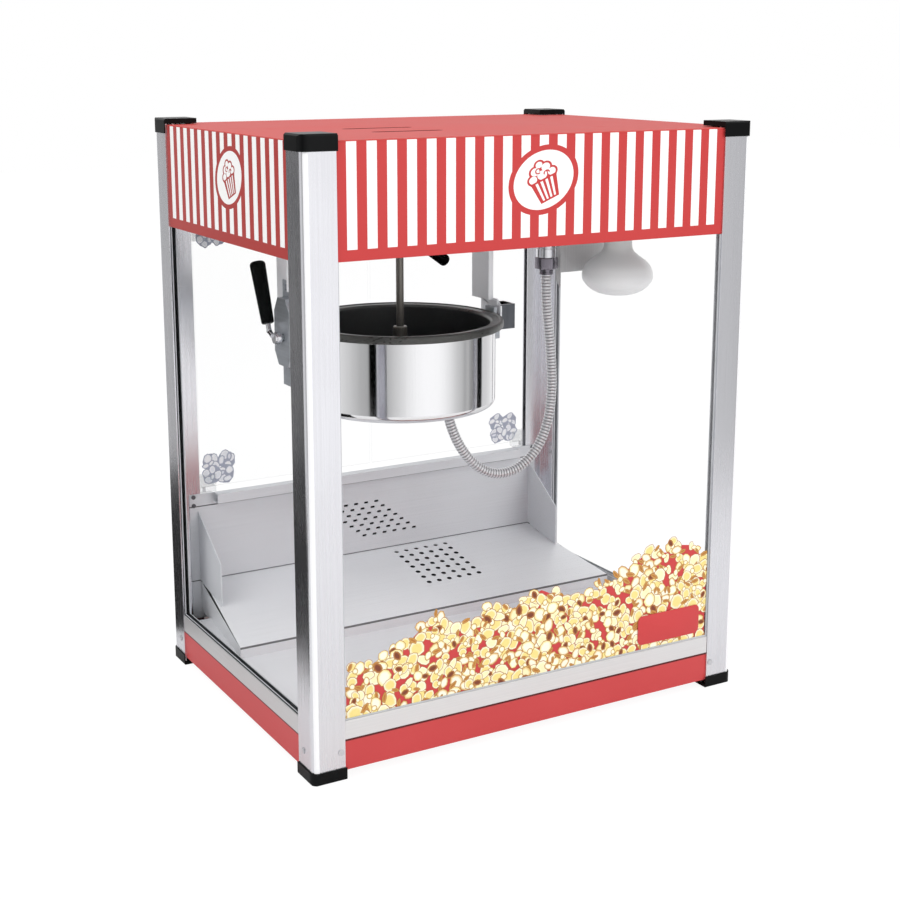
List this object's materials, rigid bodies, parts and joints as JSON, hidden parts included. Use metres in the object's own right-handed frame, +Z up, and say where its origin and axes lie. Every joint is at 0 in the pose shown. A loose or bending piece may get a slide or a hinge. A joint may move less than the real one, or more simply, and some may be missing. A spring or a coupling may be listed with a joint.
{
  "type": "popcorn maker",
  "caption": "Table-top popcorn maker: glazed cabinet on aluminium corner posts, striped canopy, tilting kettle with stirrer, lamp, sloped serving deck and rear doors.",
  "frame": {"origin": "on the table, under the middle of the cabinet", "axes": "+X to the right seen from the customer's side, +Y from the glazed front to the operator's doors at the back, +Z up"},
  "size_m": [0.56, 0.4225, 0.675],
  "materials": {
    "alu": "satin extruded",
    "black_plastic": "fine grained",
    "screws": "bright zinc",
    "red_paint": "semi-gloss",
    "canopy_paint": "semi-gloss with white stripes",
    "cover_paint": "semi-gloss",
    "glass": "clear",
    "acrylic": "clear, with frosted corner ornament",
    "rubber": "matt",
    "sheet": "fine satin",
    "hinge_black": "satin",
    "magnet_black": "matt",
    "kettle_steel": "polished stainless",
    "kettle_dark": "dark hard-anodised",
    "heater_cast": "as cast",
    "zinc": "satin",
    "grip_black": "gloss",
    "motor": "grey",
    "conduit": "ribbed flexible metal",
    "lamp_glass": "frosted",
    "ceramic": "glazed",
    "shield": "dull"
  },
  "bodies": {
    "frame": {"post_front_left": "alu", "post_front_right": "alu", "post_rear_left": "alu", "post_rear_right": "alu", "top_caps": "black_plastic", "corner_feet": "black_plastic", "corner_screws": "screws", "base_pan": "red_paint", "rail_front": "alu", "rail_left": "alu", "rail_right": "alu", "glass_front": "glass", "glass_left": "glass", "glass_right": "glass", "glass_gaskets": "rubber", "canopy_front_panel": "canopy_paint", "canopy_left_panel": "canopy_paint", "canopy_right_panel": "canopy_paint", "canopy_rear_panel": "canopy_paint", "top_cover": "cover_paint", "ceiling_plate": "sheet", "deck_plate": "sheet", "rear_apron": "sheet", "post_hinges": "hinge_black", "door_catch": "magnet_black", "hanger_left": "sheet", "hanger_right": "sheet", "pivot_housing": "zinc", "gear_motor": "motor", "conduit": "conduit", "conduit_connector": "conduit", "lamp_shield": "shield", "lamp_holder": "ceramic", "lamp_bulb": "lamp_glass", "lever_bracket": "zinc", "switch_housing": "black_plastic", "cord_gland": "black_plastic"},
    "kettle": {"kettle_shell": "kettle_steel", "kettle_pan": "kettle_dark", "kettle_heater": "heater_cast", "kettle_base_plate": "zinc", "kettle_pivot_left": "zinc", "kettle_pivot_right": "zinc", "tilt_handle_rod": "zinc", "tilt_handle_grip": "grip_black", "conduit_inlet": "zinc"},
    "stirrer": {"stirrer": "zinc"},
    "drive": {"drive_shaft": "zinc"},
    "door_left": {"door_left_pane": "acrylic", "door_left_fittings": "hinge_black"},
    "door_right": {"door_right_pane": "acrylic", "door_right_fittings": "hinge_black"},
    "drawer": {"kernel_drawer": "sheet", "drawer_pull": "red_paint"},
    "lever": {"lever_arm": "zinc", "lever_grip": "grip_black"},
    "heat_switch": {"rocker_heat": "grip_black"},
    "motor_switch": {"rocker_motor": "grip_black"},
    "light_switch": {"rocker_light": "grip_black"}
  },
  "joints": [
    {"name": "kettle_tilt", "type": "hinge", "parent": "frame", "child": "kettle", "pos_m": [-0.062, 0, 0.438], "axis": [1, 0, 0], "range_deg": [0, 80], "deforming": ["conduit"]},
    {"name": "drive_spin", "type": "hinge", "parent": "frame", "child": "drive", "pos_m": [-0.062, 0, 0.438], "axis": [0, 0, 1], "continuous": true},
    {"name": "stirrer_spin", "type": "hinge", "parent": "kettle", "child": "stirrer", "pos_m": [-0.062, 0, 0.438], "axis": [0, 0, 1], "continuous": true},
    {"name": "door_left_swing", "type": "hinge", "parent": "frame", "child": "door_left", "pos_m": [-0.2345, 0.202, 0.38], "axis": [0, 0, 1], "range_deg": [0, 105]},
    {"name": "door_right_swing", "type": "hinge", "parent": "frame", "child": "door_right", "pos_m": [0.2345, 0.202, 0.38], "axis": [0, 0, -1], "range_deg": [0, 105]},
    {"name": "drawer_slide", "type": "slide", "parent": "frame", "child": "drawer", "axis": [0, 1, 0], "range_m": [0, 0.14]},
    {"name": "lever_swing", "type": "hinge", "parent": "frame", "child": "lever", "pos_m": [-0.098, -0.02, 0.572], "axis": [0, 1, 0], "range_deg": [0, 45]},
    {"name": "heat_rock", "type": "hinge", "parent": "frame", "child": "heat_switch", "pos_m": [-0.166, 0.206, 0.623], "axis": [1, 0, 0], "range_deg": [0, 16]},
    {"name": "motor_rock", "type": "hinge", "parent": "frame", "child": "motor_switch", "pos_m": [-0.132, 0.206, 0.623], "axis": [1, 0, 0], "range_deg": [0, 16]},
    {"name": "light_rock", "type": "hinge", "parent": "frame", "child": "light_switch", "pos_m": [-0.098, 0.206, 0.623], "axis": [1, 0, 0], "range_deg": [0, 16]}
  ],
  "couplings": [
    {"joint": "drive_spin", "follows": "stirrer_spin", "ratio": 1}
  ]
}
